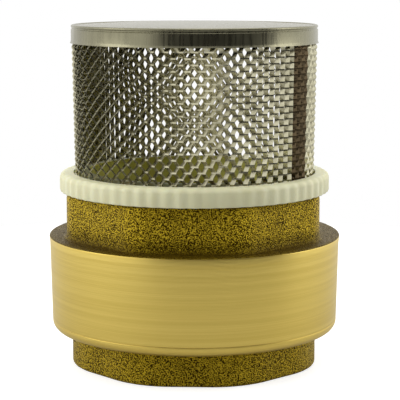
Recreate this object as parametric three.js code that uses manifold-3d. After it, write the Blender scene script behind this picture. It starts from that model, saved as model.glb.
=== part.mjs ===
// Foot valve: a spring check valve in two screwed brass halves, with a strainer basket on its inlet.
// Millimetres. +Z runs from the outlet up to the strainer, along the common axis of all the pieces.
// The origin is the centre of the outlet's end face, so the valve stands on z = 0.
import * as THREE from 'three';
import { mergeVertices } from 'three/addons/utils/BufferGeometryUtils.js';
import Module from 'manifold-3d';

// Pipe thread, 2 inch parallel: 11 turns to the inch, 55 degree flanks
const THREAD_RADIUS = 29.807;
const THREAD_PITCH = 2.309;
const THREAD_DEPTH = 1.479;
const THREAD_CLEARANCE = 0.3;
const THREAD_CREST_SHARE = 1 / 6;
const THREAD_ROOT_SHARE = 1 / 6;

// Heights along the axis
const OUTLET_NECK_HEIGHT = 9.7;
const RIM_HEIGHT = 2.8;
const SKIRT_HEIGHT = 24.3;
const INLET_NECK_HEIGHT = 12.4;
const RING_HEIGHT = 5.4;
const MESH_HEIGHT = 36.6;
const LID_HEIGHT = 5.1;
const LID_DOME = 0.5;

// Brass halves
const NECK_SIDES = 8;
const NECK_WALL = 5.7;
const OUTLET_NECK_WALL = 4.65;
const NECK_CORNER_ROUND = 9;
const OUTLET_CORNER_ROUND = 22;
const NECK_TURN = -2.3;
const SHOULDER_WIDTH = 5.5;
const SHOULDER_ROUND = 0.3;
const SKIRT_FLARE = 0.67;
const RIM_ROUND = 2.4;
const CHAMBER_WALL = 4.5;
const JOINT_WALL = 3.7;
const COLLAR_LENGTH = 8.4;
const COLLAR_WALL = 4;
const INLET_SOCKET_DEPTH = 12.4;
const OUTLET_SOCKET_DEPTH = 10.8;
const SOCKET_CHAMFER = 1;
const PIPE_STOP_HEIGHT = 1.2;
const PIPE_STOP_STEP = 0.8;
const SEAT_WEB = 2.8;
const SEAT_LIP_HEIGHT = 1.2;
const SEAT_LIP_WIDTH = 2;

// Clearances
const FACE_GAP = 0.2;
const SLIP_GAP = 0.3;
const RUNNING_GAP = 0.1;

// Joint seal
const O_RING_WIRE = 1.8;
const O_RING_PLAY = 0.3;

// Guide
const SPIDER_THICKNESS = 2.5;
const SPIDER_RIM_WIDTH = 3.2;
const SPIDER_ARMS = 3;
const SPIDER_ARM_WIDTH = 4;
const SPIDER_TURN = 30;
const HUB_RADIUS = 11;
const HUB_DROP = 1.5;
const BUSH_WALL = 1.8;
const BUSH_FLANGE_WIDTH = 1;
const BUSH_FLANGE_HEIGHT = 1.2;

// Shutter
const FLOW_GAP = 8.5;
const SEAT_OVERLAP = 3.8;
const DISC_THICKNESS = 2.8;
const SPRING_RECESS = 1;
const STEM_RADIUS = 4;
const STEM_END = 0.8;
const STEM_CHAMFER = 0.5;
const BOSS_RADIUS = 6.5;
const SEAL_THICKNESS = 2.5;
const SEAL_RIM = 0.6;
const PLATE_THICKNESS = 2;
const PLATE_INSET = 4.2;
const SCREW_RADIUS = 2.5;
const SCREW_LENGTH = 9;
const SCREW_HEAD_RADIUS = 4.5;
const SCREW_HEAD_HEIGHT = 3.4;
const HEX_KEY_RADIUS = 2.3;
const HEX_KEY_DEPTH = 2;
const CLIP_THICKNESS = 0.8;
const CLIP_WIDTH = 2.6;
const CLIP_GROOVE = 0.8;
const CLIP_PLAY = 0.6;
const CLIP_OPENING = 70;

// Spring
const SPRING_WIRE = 1;
const SPRING_TURNS = 4;
const SPRING_RING_GAP = 0.8;

// Strainer
const RING_LIP = 3;
const RING_ROUND = 0.9;
const RING_THREAD_WALL = 2.2;
const RING_COLLAR_WALL = 2.2;
const RING_COLLAR_RISE = 3.4;
const RING_FLOOR = 1.8;
const RING_TIP_GAP = 0.7;
const MESH_INSET = 1.3;
const MESH_WALL = 0.8;
const MESH_FLARE = 0.5;
const MESH_PLAY = 0.4;
const MESH_COLUMNS = 16;
const MESH_ROWS = 3;
const STRAND_WIDTH = 2.4;
const LID_WALL = 0.5;
const LID_LIP = 0.25;
const LID_BEAD = 0.35;

// Fineness of round shapes
const STEPS = 36;
const SMALL_STEPS = 24;
const SPRING_STEPS = 16;
const WIRE_SIDES = 6;

const TURN = 2 * Math.PI;
const EMBED = 0.6;

// Levels, from the outlet face upwards
const RIM_Z = OUTLET_NECK_HEIGHT;
const SEAM_Z = RIM_Z + RIM_HEIGHT;
const SHOULDER_Z = SEAM_Z + SKIRT_HEIGHT;
const NECK_TOP_Z = SHOULDER_Z + INLET_NECK_HEIGHT;
const RING_TOP_Z = NECK_TOP_Z + RING_HEIGHT;
const LID_Z = RING_TOP_Z + MESH_HEIGHT;
const LID_TOP_Z = LID_Z + LID_HEIGHT;
const LID_BEAD_Z = LID_TOP_Z - 2 * LID_BEAD;
const LID_CORNER_Z = LID_BEAD_Z - LID_BEAD;
const SOCKET_FLOOR_Z = NECK_TOP_Z - INLET_SOCKET_DEPTH;
const WEB_Z = SOCKET_FLOOR_Z - SEAT_WEB;
const SEAT_Z = WEB_Z - SEAT_LIP_HEIGHT;
const COLLAR_TOP_Z = SEAM_Z + COLLAR_LENGTH;
const LEDGE_Z = OUTLET_SOCKET_DEPTH + PIPE_STOP_HEIGHT;
const SPIDER_Z = LEDGE_Z + FACE_GAP;
const SPIDER_TOP_Z = SPIDER_Z + SPIDER_THICKNESS;
const HUB_Z = SPIDER_Z - HUB_DROP;
const SEAL_TOP_Z = SEAT_Z - FACE_GAP;
const SEAL_Z = SEAL_TOP_Z - SEAL_THICKNESS;
const DISC_TOP_Z = SEAL_Z - RUNNING_GAP;
const DISC_Z = DISC_TOP_Z - DISC_THICKNESS;
const PLATE_Z = SEAL_TOP_Z + RUNNING_GAP;
const PLATE_TOP_Z = PLATE_Z + PLATE_THICKNESS;
const CLIP_TOP_Z = HUB_Z - CLIP_PLAY;
const CLIP_Z = CLIP_TOP_Z - CLIP_THICKNESS;
const STEM_Z = CLIP_Z - STEM_END;
const SPRING_Z = SPIDER_TOP_Z + RUNNING_GAP;
const SPRING_TOP_Z = DISC_Z + SPRING_RECESS - RUNNING_GAP;
const RING_Z = NECK_TOP_Z + FACE_GAP;
const RING_TIP_Z = SOCKET_FLOOR_Z + RING_TIP_GAP;
const GROOVE_Z = RING_Z + RING_FLOOR;

// Radii, from the pipe thread outwards and inwards
const THREAD_MINOR = THREAD_RADIUS - THREAD_DEPTH;
const NECK_APOTHEM = THREAD_RADIUS + NECK_WALL;
const OUTLET_APOTHEM = THREAD_RADIUS + OUTLET_NECK_WALL;
const BODY_RADIUS = NECK_APOTHEM + SHOULDER_WIDTH;
const SHOULDER_RADIUS = BODY_RADIUS + SKIRT_FLARE;
const CHAMBER_RADIUS = BODY_RADIUS - CHAMBER_WALL;
const JOINT_RADIUS = BODY_RADIUS - JOINT_WALL;
const COLLAR_RADIUS = JOINT_RADIUS - SLIP_GAP;
const COLLAR_BORE = COLLAR_RADIUS - COLLAR_WALL;
const PIPE_STOP_RADIUS = THREAD_MINOR - PIPE_STOP_STEP;
const SHUTTER_RADIUS = CHAMBER_RADIUS - FLOW_GAP;
const SEAT_RADIUS = SHUTTER_RADIUS - SEAT_OVERLAP;
const PLATE_RADIUS = SEAT_RADIUS - PLATE_INSET;
const BUSH_BORE = STEM_RADIUS + RUNNING_GAP;
const BUSH_RADIUS = BUSH_BORE + BUSH_WALL;
const SPRING_INNER = BUSH_RADIUS + BUSH_FLANGE_WIDTH + SPRING_RING_GAP;
const SPRING_RADIUS = SPRING_INNER + SPRING_WIRE / 2;
const MESH_RADIUS = NECK_APOTHEM - MESH_INSET;
const RING_RADIUS = NECK_APOTHEM + RING_LIP;
const LID_RADIUS = MESH_RADIUS + MESH_FLARE + FACE_GAP;

const BRASS = { color: 0xb09a50, roughness: 0.35, metalness: 1 };
const STEEL = { color: 0xb9b8ae, roughness: 0.35, metalness: 1 };
const NYLON = { color: 0xd6d3b4, roughness: 0.55, metalness: 0 };
const ACETAL = { color: 0xe8e6da, roughness: 0.5, metalness: 0 };
const RUBBER = { color: 0x20201e, roughness: 0.8, metalness: 0 };

const wasm = await Module();
wasm.setup();

// A closed geometry as a manifold solid
function solid(geometry) {
  const bare = geometry.clone();
  bare.deleteAttribute('normal');
  bare.deleteAttribute('uv');
  const merged = mergeVertices(bare, 1e-4);
  const index = merged.index.array;
  const triangles = [];
  for (let i = 0; i < index.length; i += 3) {
    const corners = [index[i], index[i + 1], index[i + 2]];
    if (new Set(corners).size === 3) triangles.push(...corners);
  }
  return new wasm.Manifold(new wasm.Mesh({
    numProp: 3,
    vertProperties: new Float32Array(merged.attributes.position.array),
    triVerts: new Uint32Array(triangles),
  }));
}

// A turned solid from its profile of [radius, height] points, given in either direction
function turned(profile, steps = STEPS) {
  const area = profile.reduce((sum, [r, z], i) => {
    const [nextR, nextZ] = profile[(i + 1) % profile.length];
    return sum + r * nextZ - nextR * z;
  }, 0);
  const upright = area > 0 ? profile : [...profile].reverse();
  const points = [...upright, upright[0]].map(([r, z]) => new THREE.Vector2(r, z));
  return solid(new THREE.LatheGeometry(points, steps).rotateX(Math.PI / 2));
}

// A straight prism from an outline, between two heights
function prism(shape, low, high, arcSteps = 4) {
  const options = { depth: high - low, bevelEnabled: false, curveSegments: arcSteps };
  return solid(new THREE.ExtrudeGeometry(shape, options).translate(0, 0, low));
}

// A right-hand helical bar: the section's x is the radius and its y is the height where the bar starts
function coil(section, pitch, turns, stepsPerTurn) {
  const span = turns * TURN;
  const options = { depth: span, steps: Math.round(turns * stepsPerTurn), bevelEnabled: false };
  const geometry = new THREE.ExtrudeGeometry(section, options);
  const position = geometry.attributes.position;
  for (let i = 0; i < position.count; i += 1) {
    const angle = span - position.getZ(i);
    const radius = position.getX(i);
    const height = position.getY(i) + pitch * angle / TURN;
    position.setXYZ(i, radius * Math.cos(angle), radius * Math.sin(angle), height);
  }
  return solid(geometry);
}

function polygon(points) {
  return new THREE.Shape(points.map(([x, y]) => new THREE.Vector2(x, y)));
}

// Eight flats with round corners, turned about the axis by some degrees
function octagon(apothem, cornerRound, turn) {
  const half = Math.PI / NECK_SIDES;
  const reach = (apothem - cornerRound) / Math.cos(half);
  const shape = new THREE.Shape();
  for (let k = 0; k < NECK_SIDES; k += 1) {
    const corner = (2 * k + 1) * half + THREE.MathUtils.degToRad(turn);
    const x = reach * Math.cos(corner);
    const y = reach * Math.sin(corner);
    shape.absarc(x, y, cornerRound, corner - half, corner + half, false);
  }
  return shape;
}

// A rod with a right-hand thread between two heights, and a chamfer at each end of the thread.
// It serves as the screw, and at the nominal size as the tap that cuts the socket.
// A tooth starts each time the helix passes the phase height, so rods with one phase mesh.
function threadedRod(root, crest, low, high, phase) {
  const halfTop = THREAD_PITCH * THREAD_CREST_SHARE / 2;
  const halfBase = THREAD_PITCH * (1 - THREAD_ROOT_SHARE) / 2;
  const first = phase - THREAD_PITCH * Math.ceil((phase - low) / THREAD_PITCH + 2);
  const teeth = Math.ceil((high - first) / THREAD_PITCH) + 1;
  const outline = [[0, low], [root, low]];
  for (let k = 0; k < teeth; k += 1) {
    const z = first + k * THREAD_PITCH;
    outline.push([root, z - halfBase], [crest, z - halfTop], [crest, z + halfTop], [root, z + halfBase]);
  }
  outline.push([root, high], [0, high]);
  const points = outline.map(([r, z]) => new THREE.Vector2(r, z));
  const geometry = new THREE.LatheGeometry(points, STEPS);
  const position = geometry.attributes.position;
  for (let i = 0; i < position.count; i += 1) {
    const column = Math.floor(i / outline.length);
    const row = i % outline.length;
    if (row < 2 || row > outline.length - 3) continue;
    const climbed = outline[row][1] + THREAD_PITCH * column / STEPS;
    const height = THREE.MathUtils.clamp(climbed, low, high);
    const radius = Math.min(outline[row][0], root + height - low, root + high - height);
    const angle = TURN * column / STEPS;
    position.setXYZ(i, radius * Math.sin(angle), height, radius * Math.cos(angle));
  }
  return solid(geometry.rotateX(Math.PI / 2));
}

function quarterRound(centreR, centreZ, radius, from, steps = 4) {
  return Array.from({ length: steps + 1 }, (_, i) => {
    const angle = THREE.MathUtils.degToRad(from + 90 * i / steps);
    return [centreR + radius * Math.cos(angle), centreZ + radius * Math.sin(angle)];
  });
}

// Cone that opens a socket's mouth, towards the given side
function countersink(z, side) {
  const wide = THREAD_RADIUS + SOCKET_CHAMFER + EMBED;
  const deep = z - side * (SOCKET_CHAMFER + THREAD_DEPTH);
  return turned([[0, deep], [THREAD_MINOR, deep], [wide, z + side * EMBED], [0, z + side * EMBED]]);
}

// Brass half with the seat: cylinder, octagonal neck and the socket that takes the strainer
function inletHalf() {
  const neck = prism(octagon(NECK_APOTHEM, NECK_CORNER_ROUND, NECK_TURN), SHOULDER_Z - EMBED, NECK_TOP_Z);
  const skirt = turned([
    [0, SEAM_Z + FACE_GAP], [BODY_RADIUS, SEAM_Z + FACE_GAP],
    ...quarterRound(SHOULDER_RADIUS - SHOULDER_ROUND, SHOULDER_Z - SHOULDER_ROUND, SHOULDER_ROUND, 0, 2),
    [0, SHOULDER_Z],
  ]);
  const lipOuter = SEAT_RADIUS + SEAT_LIP_WIDTH;
  const jointTop = COLLAR_TOP_Z + SLIP_GAP;
  const hollow = turned([
    [0, SEAM_Z - EMBED], [JOINT_RADIUS, SEAM_Z - EMBED], [JOINT_RADIUS, jointTop],
    [CHAMBER_RADIUS, jointTop], [CHAMBER_RADIUS, WEB_Z], [lipOuter, WEB_Z], [lipOuter, SEAT_Z],
    [SEAT_RADIUS, SEAT_Z], [SEAT_RADIUS, SOCKET_FLOOR_Z + EMBED], [0, SOCKET_FLOOR_Z + EMBED],
  ]);
  const mouth = countersink(NECK_TOP_Z, 1);
  const tap = threadedRod(
    THREAD_MINOR, THREAD_RADIUS, SOCKET_FLOOR_Z, NECK_TOP_Z + THREAD_PITCH, NECK_TOP_Z,
  );
  return skirt.add(neck).subtract(hollow).subtract(tap).subtract(mouth);
}

// Brass half with the outlet socket, and the collar that screws into the inlet half
function outletHalf() {
  const neck = prism(octagon(OUTLET_APOTHEM, OUTLET_CORNER_ROUND, NECK_TURN), 0, RIM_Z + EMBED);
  const grooveTop = SEAM_Z + O_RING_WIRE + 2 * O_RING_PLAY + FACE_GAP;
  const grooveRadius = JOINT_RADIUS - O_RING_WIRE - O_RING_PLAY;
  const outside = turned([
    [0, RIM_Z], ...quarterRound(BODY_RADIUS - RIM_ROUND, RIM_Z + RIM_ROUND, RIM_ROUND, -90),
    [BODY_RADIUS, SEAM_Z], [grooveRadius, SEAM_Z], [grooveRadius, grooveTop],
    [COLLAR_RADIUS, grooveTop], [COLLAR_RADIUS, COLLAR_TOP_Z], [0, COLLAR_TOP_Z],
  ]);
  const hollow = turned([
    [0, OUTLET_SOCKET_DEPTH - EMBED], [PIPE_STOP_RADIUS, OUTLET_SOCKET_DEPTH - EMBED],
    [PIPE_STOP_RADIUS, LEDGE_Z], [COLLAR_BORE, LEDGE_Z],
    [COLLAR_BORE, COLLAR_TOP_Z + EMBED], [0, COLLAR_TOP_Z + EMBED],
  ]);
  const mouth = countersink(0, -1);
  const tap = threadedRod(THREAD_MINOR, THREAD_RADIUS, -THREAD_PITCH, OUTLET_SOCKET_DEPTH, 0);
  return neck.add(outside).subtract(hollow).subtract(tap).subtract(mouth);
}

function circleProfile(radius, height, size, sides) {
  return Array.from({ length: sides }, (_, i) => {
    const angle = TURN * i / sides;
    return [radius + size * Math.cos(angle), height + size * Math.sin(angle)];
  });
}

// Seal in the groove at the foot of the collar
function jointORing() {
  const wireRadius = O_RING_WIRE / 2;
  const centre = JOINT_RADIUS - O_RING_PLAY / 2 - wireRadius;
  return turned(circleProfile(centre, SEAM_Z + O_RING_PLAY + FACE_GAP + wireRadius, wireRadius, WIRE_SIDES));
}

// Guide that rests on the outlet half's ledge: rim, arms and a hub that reaches below them
function guideSpider() {
  const rimOuter = COLLAR_BORE - SLIP_GAP;
  const rimInner = rimOuter - SPIDER_RIM_WIDTH;
  const boreRadius = BUSH_RADIUS + RUNNING_GAP;
  const rim = turned([
    [rimInner, SPIDER_Z], [rimOuter, SPIDER_Z], [rimOuter, SPIDER_TOP_Z], [rimInner, SPIDER_TOP_Z],
  ]);
  const hub = turned([[0, HUB_Z], [HUB_RADIUS, HUB_Z], [HUB_RADIUS, SPIDER_TOP_Z], [0, SPIDER_TOP_Z]]);
  const bore = turned([
    [0, HUB_Z - EMBED], [boreRadius, HUB_Z - EMBED],
    [boreRadius, SPIDER_TOP_Z + EMBED], [0, SPIDER_TOP_Z + EMBED],
  ], SMALL_STEPS);
  let spider = rim.add(hub);
  for (let k = 0; k < SPIDER_ARMS; k += 1) {
    const length = rimInner + EMBED;
    const arm = new THREE.BoxGeometry(length, SPIDER_ARM_WIDTH, SPIDER_THICKNESS);
    arm.translate(length / 2, 0, SPIDER_Z + SPIDER_THICKNESS / 2);
    const angle = TURN * k / SPIDER_ARMS + THREE.MathUtils.degToRad(SPIDER_TURN);
    spider = spider.add(solid(arm.rotateZ(angle)));
  }
  return spider.subtract(bore);
}

function guideBush() {
  const flangeZ = SPIDER_TOP_Z + RUNNING_GAP;
  const flangeTop = flangeZ + BUSH_FLANGE_HEIGHT;
  const flangeRadius = BUSH_RADIUS + BUSH_FLANGE_WIDTH;
  return turned([
    [BUSH_BORE, HUB_Z], [BUSH_RADIUS, HUB_Z], [BUSH_RADIUS, flangeZ], [flangeRadius, flangeZ],
    [flangeRadius, flangeTop], [BUSH_BORE, flangeTop],
  ], SMALL_STEPS);
}

// Spring between the hub and the recess under the disc
function returnSpring() {
  const wireRadius = SPRING_WIRE / 2;
  const section = circleProfile(SPRING_RADIUS, SPRING_Z + wireRadius, wireRadius, WIRE_SIDES);
  const pitch = (SPRING_TOP_Z - SPRING_Z - SPRING_WIRE) / SPRING_TURNS;
  return coil(polygon(section), pitch, SPRING_TURNS, SPRING_STEPS);
}

// Disc and guide stem in one piece, with a tapped hole for the plate screw
function shutterDisc() {
  const holeRadius = SCREW_RADIUS + SLIP_GAP;
  const holeZ = PLATE_TOP_Z - SCREW_LENGTH - SLIP_GAP;
  const recessRadius = SPRING_RADIUS + SPRING_WIRE / 2 + SLIP_GAP;
  const grooveRadius = STEM_RADIUS - CLIP_GROOVE;
  return turned([
    [0, STEM_Z], [STEM_RADIUS - STEM_CHAMFER, STEM_Z], [STEM_RADIUS, STEM_Z + STEM_CHAMFER],
    [STEM_RADIUS, CLIP_Z - RUNNING_GAP], [grooveRadius, CLIP_Z - RUNNING_GAP],
    [grooveRadius, CLIP_TOP_Z + RUNNING_GAP], [STEM_RADIUS, CLIP_TOP_Z + RUNNING_GAP],
    [STEM_RADIUS, DISC_Z + SPRING_RECESS], [recessRadius, DISC_Z + SPRING_RECESS],
    [recessRadius, DISC_Z], [SHUTTER_RADIUS, DISC_Z], [SHUTTER_RADIUS, DISC_TOP_Z],
    [BOSS_RADIUS, DISC_TOP_Z], [BOSS_RADIUS, SEAL_TOP_Z], [holeRadius, SEAL_TOP_Z],
    [holeRadius, holeZ], [0, holeZ],
  ]);
}

function shutterSeal() {
  const inner = BOSS_RADIUS + SLIP_GAP;
  const outer = SHUTTER_RADIUS - SEAL_RIM;
  return turned([[inner, SEAL_Z], [outer, SEAL_Z], [outer, SEAL_TOP_Z], [inner, SEAL_TOP_Z]]);
}

function sealPlate() {
  const inner = SCREW_RADIUS + SLIP_GAP;
  return turned([
    [inner, PLATE_Z], [PLATE_RADIUS, PLATE_Z], [PLATE_RADIUS, PLATE_TOP_Z], [inner, PLATE_TOP_Z],
  ]);
}

function plateScrew() {
  const headZ = PLATE_TOP_Z + RUNNING_GAP;
  const headTop = headZ + SCREW_HEAD_HEIGHT;
  const tip = PLATE_TOP_Z - SCREW_LENGTH;
  const body = turned([
    [0, tip], [SCREW_RADIUS, tip], [SCREW_RADIUS, headZ], [SCREW_HEAD_RADIUS, headZ],
    [SCREW_HEAD_RADIUS, headTop], [0, headTop],
  ], SMALL_STEPS);
  const depth = HEX_KEY_DEPTH + EMBED;
  const key = new THREE.CylinderGeometry(HEX_KEY_RADIUS, HEX_KEY_RADIUS, depth, 6).rotateX(Math.PI / 2);
  return body.subtract(solid(key.translate(0, 0, headTop + EMBED - depth / 2)));
}

// Open clip in the stem's groove
function stemClip() {
  const inner = STEM_RADIUS - CLIP_GROOVE + RUNNING_GAP;
  const half = THREE.MathUtils.degToRad(CLIP_OPENING / 2);
  const shape = new THREE.Shape();
  shape.absarc(0, 0, inner + CLIP_WIDTH, half, TURN - half, false);
  shape.absarc(0, 0, inner, TURN - half, half, true);
  return prism(shape, CLIP_Z, CLIP_TOP_Z, SMALL_STEPS / 2);
}

// Nylon ring: male pipe thread, gripping flange, groove for the mesh and a collar inside it
function strainerRing() {
  const core = THREAD_MINOR - THREAD_CLEARANCE;
  const bore = core - RING_THREAD_WALL;
  const grooveOuter = MESH_RADIUS + MESH_PLAY;
  const grooveInner = MESH_RADIUS - MESH_WALL - MESH_PLAY;
  const collarInner = grooveInner - RING_COLLAR_WALL;
  const collarTop = RING_TOP_Z + RING_COLLAR_RISE;
  const flange = turned([
    [0, RING_Z], [RING_RADIUS, RING_Z],
    ...quarterRound(RING_RADIUS - RING_ROUND, RING_TOP_Z - RING_ROUND, RING_ROUND, 0, 3),
    [grooveOuter, RING_TOP_Z], [grooveOuter, GROOVE_Z], [grooveInner, GROOVE_Z],
    [grooveInner, collarTop], [0, collarTop],
  ]);
  const crest = THREAD_RADIUS - THREAD_CLEARANCE;
  const screw = threadedRod(core, crest, RING_TIP_Z, RING_Z + EMBED, NECK_TOP_Z);
  const waterway = turned([
    [0, RING_TIP_Z - EMBED], [bore, RING_TIP_Z - EMBED], [bore, RING_Z], [collarInner, RING_TOP_Z],
    [collarInner, collarTop + EMBED], [0, collarTop + EMBED],
  ]);
  return flange.add(screw).subtract(waterway);
}

// Lattice tube that flares slightly upwards, with its top edge tucked into the lid
function strainerMesh() {
  const bottom = GROOVE_Z + FACE_GAP;
  const top = LID_CORNER_Z - FACE_GAP;
  const tucked = LID_RADIUS - LID_WALL - FACE_GAP;
  const flared = MESH_RADIUS + MESH_FLARE;
  const tuckZ = LID_Z - FACE_GAP - MESH_WALL;
  const tube = turned([
    [MESH_RADIUS, bottom], [MESH_RADIUS, RING_TOP_Z], [flared, tuckZ], [tucked, LID_Z - FACE_GAP],
    [tucked, top], [tucked - MESH_WALL, top], [tucked - MESH_WALL, tuckZ],
    [MESH_RADIUS - MESH_WALL, RING_TOP_Z], [MESH_RADIUS - MESH_WALL, bottom],
  ], 2 * MESH_COLUMNS);
  const low = RING_TOP_Z + RING_COLLAR_RISE;
  const rowHeight = (tuckZ - low) / MESH_ROWS;
  const columnWidth = TURN * MESH_RADIUS / MESH_COLUMNS;
  const slant = Math.hypot(columnWidth, rowHeight) / 2;
  const halfWidth = columnWidth / 2 * (1 - STRAND_WIDTH / slant);
  const halfHeight = rowHeight / 2 * (1 - STRAND_WIDTH / slant);
  let holes = null;
  for (let level = 1; level < 2 * MESH_ROWS; level += 1) {
    for (let column = 0; column < MESH_COLUMNS; column += 1) {
      const hole = new THREE.CylinderGeometry(1, 1, MESH_RADIUS, 4);
      hole.rotateZ(Math.PI / 2).scale(1, halfHeight, halfWidth).rotateX(Math.PI / 2);
      hole.translate(MESH_RADIUS, 0, low + level * rowHeight / 2);
      const cutter = solid(hole.rotateZ(TURN * (column + (level % 2) / 2) / MESH_COLUMNS));
      holes = holes ? holes.add(cutter) : cutter;
    }
  }
  return tube.subtract(holes);
}

// Pressed cap with a rolled top edge and a lip at its foot
function strainerLid() {
  const inner = LID_RADIUS - LID_WALL;
  const waist = LID_RADIUS - LID_BEAD / 2;
  return turned([
    [LID_RADIUS + LID_LIP, LID_Z], [LID_RADIUS, LID_Z + 2 * LID_LIP], [LID_RADIUS, LID_CORNER_Z - LID_BEAD],
    [waist, LID_CORNER_Z], [waist, LID_BEAD_Z], [LID_RADIUS, LID_BEAD_Z + LID_BEAD],
    [LID_RADIUS - LID_BEAD, LID_TOP_Z], [0, LID_TOP_Z + LID_DOME], [0, LID_TOP_Z + LID_DOME - LID_WALL],
    [inner - LID_BEAD, LID_TOP_Z - LID_WALL], [inner, LID_CORNER_Z], [inner, LID_Z + 2 * LID_LIP],
    [inner + LID_LIP, LID_Z],
  ]);
}

function named(name, shape, finish) {
  const { vertProperties, triVerts } = shape.getMesh();
  const geometry = new THREE.BufferGeometry();
  geometry.setAttribute('position', new THREE.BufferAttribute(vertProperties, 3));
  geometry.setIndex(new THREE.BufferAttribute(triVerts, 1));
  geometry.computeVertexNormals();
  const mesh = new THREE.Mesh(geometry, new THREE.MeshStandardMaterial(finish));
  mesh.name = name;
  return mesh;
}

const body = new THREE.Group();
body.add(
  named('inlet_half', inletHalf(), BRASS),
  named('outlet_half', outletHalf(), BRASS),
  named('joint_o_ring', jointORing(), RUBBER),
  named('guide_spider', guideSpider(), BRASS),
  named('guide_bush', guideBush(), ACETAL),
  named('return_spring', returnSpring(), STEEL),
);

const shutter = new THREE.Group();
shutter.add(
  named('shutter_disc', shutterDisc(), BRASS),
  named('shutter_seal', shutterSeal(), RUBBER),
  named('seal_plate', sealPlate(), STEEL),
  named('plate_screw', plateScrew(), STEEL),
  named('stem_clip', stemClip(), STEEL),
);

const strainer = new THREE.Group();
strainer.add(
  named('strainer_ring', strainerRing(), NYLON),
  named('strainer_mesh', strainerMesh(), STEEL),
  named('strainer_lid', strainerLid(), STEEL),
);

const footValve = new THREE.Group();
footValve.add(body, shutter, strainer);

export default footValve;
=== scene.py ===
"""Foot valve with a strainer basket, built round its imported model.

Each operator makes one piece, or one group of like pieces, in metres in the model's own frame:
+Z runs up the axis from the outlet's end face at z = 0, and the camera stands on the -Y side.
"""
import math

import bmesh
import bpy
from bpy.props import FloatProperty, FloatVectorProperty, IntProperty, PointerProperty
from bpy.types import Operator, Panel, PropertyGroup
from mathutils import Matrix, Vector


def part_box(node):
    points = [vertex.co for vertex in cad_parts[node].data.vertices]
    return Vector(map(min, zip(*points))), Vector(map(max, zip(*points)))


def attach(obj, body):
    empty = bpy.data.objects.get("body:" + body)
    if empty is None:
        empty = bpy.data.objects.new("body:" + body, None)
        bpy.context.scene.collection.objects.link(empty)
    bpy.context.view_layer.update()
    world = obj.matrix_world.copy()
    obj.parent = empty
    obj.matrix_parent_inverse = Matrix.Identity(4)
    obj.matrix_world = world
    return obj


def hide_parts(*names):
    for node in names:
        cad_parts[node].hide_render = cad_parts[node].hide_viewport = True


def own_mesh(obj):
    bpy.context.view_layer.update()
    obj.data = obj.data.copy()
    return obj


bl_info = {
    "name": "Foot valve",
    "version": (1, 0, 0),
    "blender": (4, 5, 0),
    "location": "3D View > Sidebar > Valve",
    "description": "Builds a brass foot valve with its strainer, spring and shutter",
    "category": "Object",
}

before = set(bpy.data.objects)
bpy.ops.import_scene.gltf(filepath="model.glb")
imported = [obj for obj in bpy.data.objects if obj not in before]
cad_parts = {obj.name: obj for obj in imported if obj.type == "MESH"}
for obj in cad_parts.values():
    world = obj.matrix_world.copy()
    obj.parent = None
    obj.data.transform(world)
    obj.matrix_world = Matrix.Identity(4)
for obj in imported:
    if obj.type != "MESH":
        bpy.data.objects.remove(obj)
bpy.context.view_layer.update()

MM = 0.001
TURN = 2 * math.pi
POLE = 1e-6
MERGE = 4e-6
SHARP = math.radians(32)

# Pitch of the spring's closed turns in wire diameters, and how far its open turns ease into them
CLOSED_PITCH = 0.9
COIL_EASE = 0.35

# Points of the lid's dome, as shares of its radius and of its height
DOME = ((0.35, 0.9), (0.7, 0.55))

INLET_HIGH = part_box("inlet_half")[1]
OUTLET_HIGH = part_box("outlet_half")[1]
RING_LOW, RING_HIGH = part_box("strainer_ring")
MESH_LOW, MESH_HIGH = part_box("strainer_mesh")
LID_LOW, LID_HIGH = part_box("strainer_lid")
SPIDER_LOW, SPIDER_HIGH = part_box("guide_spider")
BUSH_LOW, BUSH_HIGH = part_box("guide_bush")
SPRING_LOW, SPRING_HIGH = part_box("return_spring")
DISC_LOW, DISC_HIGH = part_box("shutter_disc")
SEAL_LOW, SEAL_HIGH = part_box("shutter_seal")
PLATE_LOW, PLATE_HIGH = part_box("seal_plate")
SCREW_LOW, SCREW_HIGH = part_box("plate_screw")
CLIP_LOW, CLIP_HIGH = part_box("stem_clip")
O_RING_LOW, O_RING_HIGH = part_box("joint_o_ring")


def size(name, description, default, unit="LENGTH"):
    """A length or angle that a user would change."""
    return FloatProperty(name=name, description=description, default=default, unit=unit, precision=5)


def whole(name, description, default, least=1):
    """A whole number that a user would change."""
    return IntProperty(name=name, description=description, default=default, min=least)


def amount(name, description, default, least=0.0):
    """A plain number that a user would change."""
    return FloatProperty(name=name, description=description, default=default, min=least)


def colour(name, description, default):
    """A linear colour that a user would change."""
    return FloatVectorProperty(
        name=name, description=description, default=default, size=3, min=0, max=1, subtype="COLOR"
    )


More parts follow.
